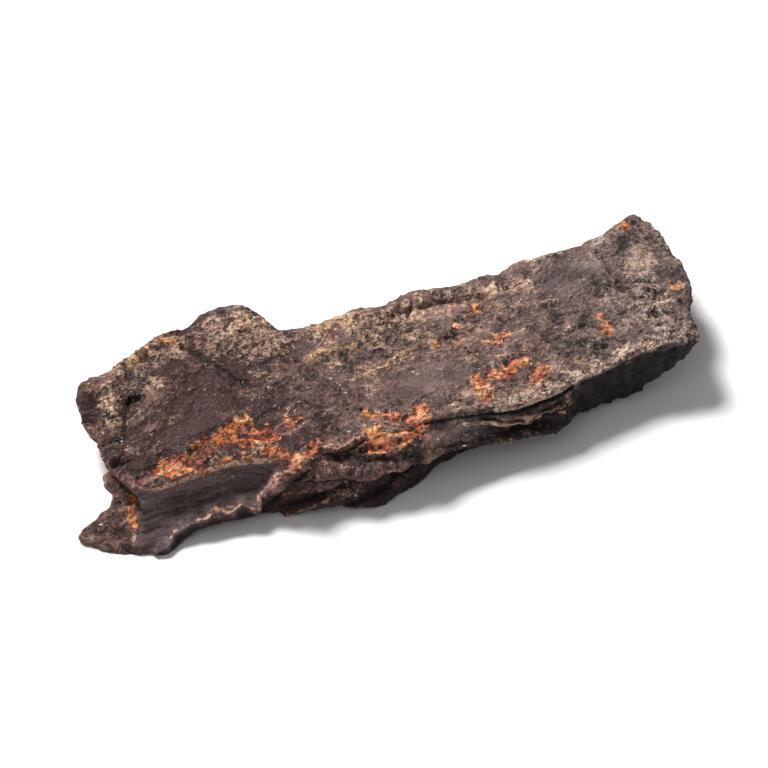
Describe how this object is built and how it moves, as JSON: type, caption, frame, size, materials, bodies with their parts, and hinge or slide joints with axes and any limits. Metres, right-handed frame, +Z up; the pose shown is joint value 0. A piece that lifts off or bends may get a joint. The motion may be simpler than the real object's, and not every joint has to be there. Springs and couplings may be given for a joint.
{
  "type": "dried horse liver",
  "caption": "Slab of air-dried liver with a granular top face, a crisp cut edge, folded side walls, a rounded boss and a flared lower corner.",
  "frame": {"origin": "middle of the bounding box's base, on the surface that the slab lies on", "axes": "+X along the slab towards its thin tapered end, +Y from the crisp cut edge to the edge with the boss, +Z up"},
  "size_m": [0.1566, 0.067, 0.0177],
  "materials": {
    "dried_liver": "dry grey-brown crust with paler grains and torn rust-orange patches, matte with a slight sheen"
  },
  "bodies": {
    "root": {"dried_liver": "dried_liver"}
  },
  "joints": []
}
